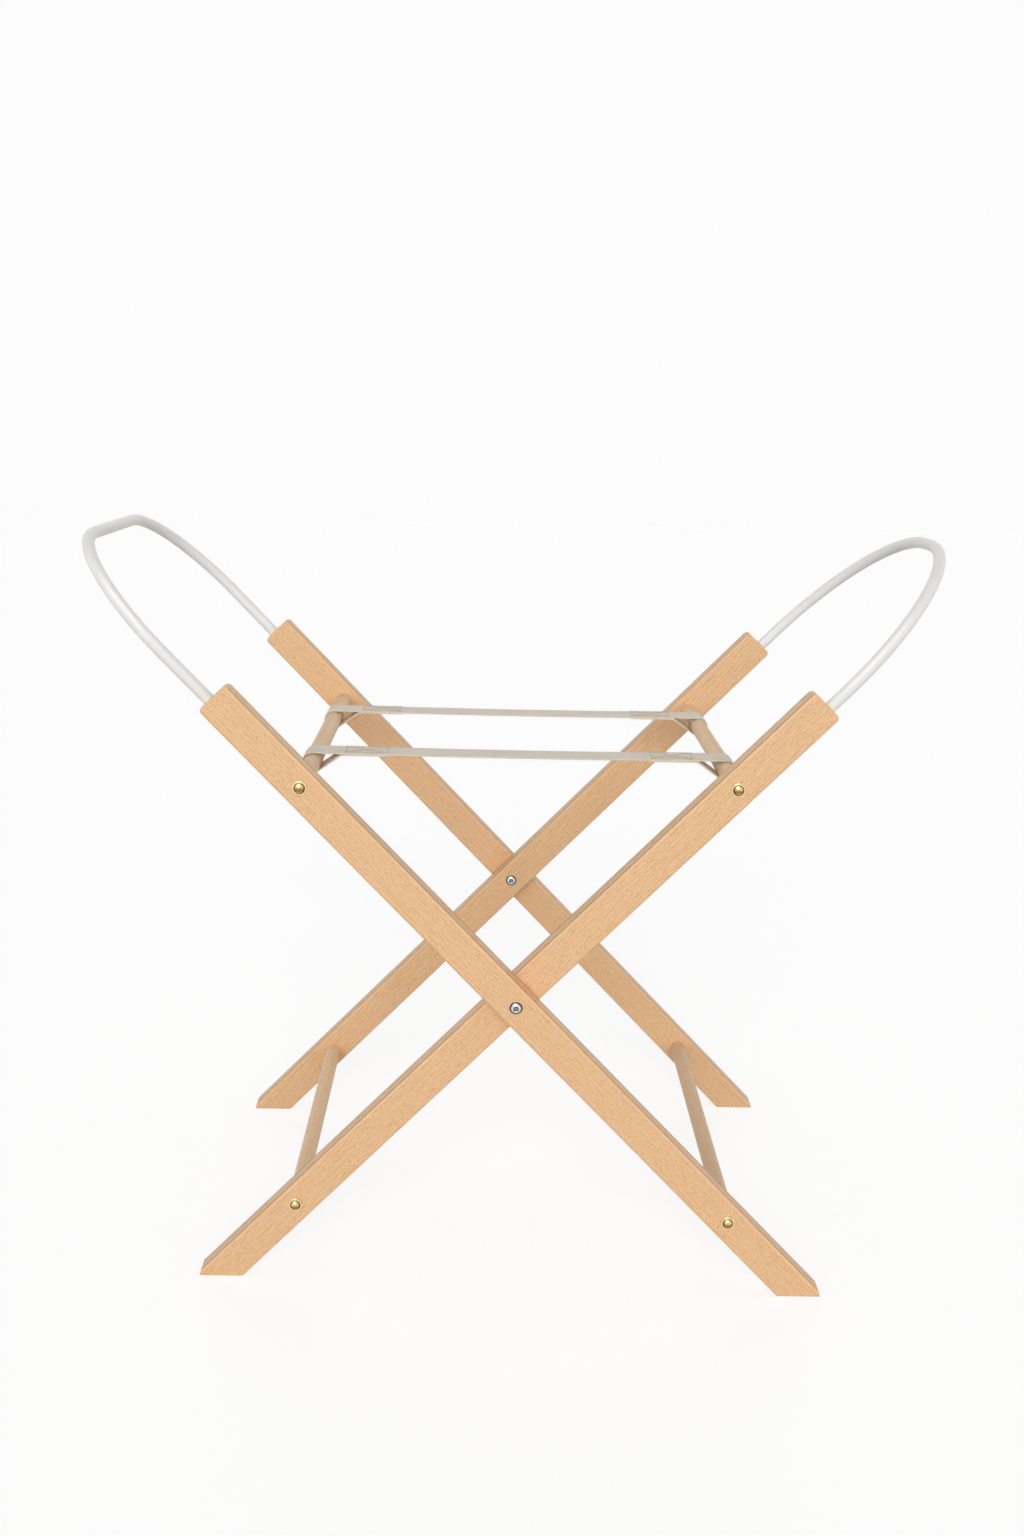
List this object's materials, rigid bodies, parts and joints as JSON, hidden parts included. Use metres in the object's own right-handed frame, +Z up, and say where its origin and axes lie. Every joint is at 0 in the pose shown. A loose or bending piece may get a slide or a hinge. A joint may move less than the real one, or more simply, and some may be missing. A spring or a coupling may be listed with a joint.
{
  "type": "moses basket stand",
  "caption": "Folding cross-leg wooden stand with round crossbars, webbing spread straps and bent white tube bows that hold a moses basket.",
  "frame": {"origin": "on the floor, at the middle of the box round the open stand", "axes": "+Z up, +X along the spread of the legs towards the inner frame's bow, +Y from front to back"},
  "size_m": [0.7934, 0.4144, 0.6939],
  "materials": {
    "beech": "satin clear coat",
    "white_lacquer": "satin",
    "brass": "polished",
    "zinc": "plated",
    "nylon": "matt",
    "webbing": "woven"
  },
  "bodies": {
    "outer_frame": {"outer_front_leg": "beech", "outer_rear_leg": "beech", "outer_upper_crossbar": "beech", "outer_lower_crossbar": "beech", "outer_bow": "white_lacquer", "outer_upper_bolts": "brass", "outer_lower_bolts": "brass", "outer_upper_washers": "brass", "outer_lower_washers": "brass", "outer_upper_inserts": "brass", "outer_lower_inserts": "brass", "front_pivot_bolt": "zinc", "rear_pivot_bolt": "zinc", "front_pivot_sleeve": "zinc", "rear_pivot_sleeve": "zinc", "front_pivot_spacer": "nylon", "rear_pivot_spacer": "nylon", "front_strap": "webbing", "rear_strap": "webbing"},
    "inner_frame": {"inner_front_leg": "beech", "inner_rear_leg": "beech", "inner_upper_crossbar": "beech", "inner_lower_crossbar": "beech", "inner_bow": "white_lacquer", "inner_upper_bolts": "brass", "inner_lower_bolts": "brass", "inner_upper_washers": "brass", "inner_lower_washers": "brass", "inner_upper_inserts": "brass", "inner_lower_inserts": "brass"}
  },
  "joints": [
    {"name": "fold", "type": "hinge", "parent": "outer_frame", "child": "inner_frame", "pos_m": [0, 0, 0.287], "axis": [0, -1, 0], "range_deg": [0, 80], "deforming": ["front_strap", "rear_strap"]}
  ]
}
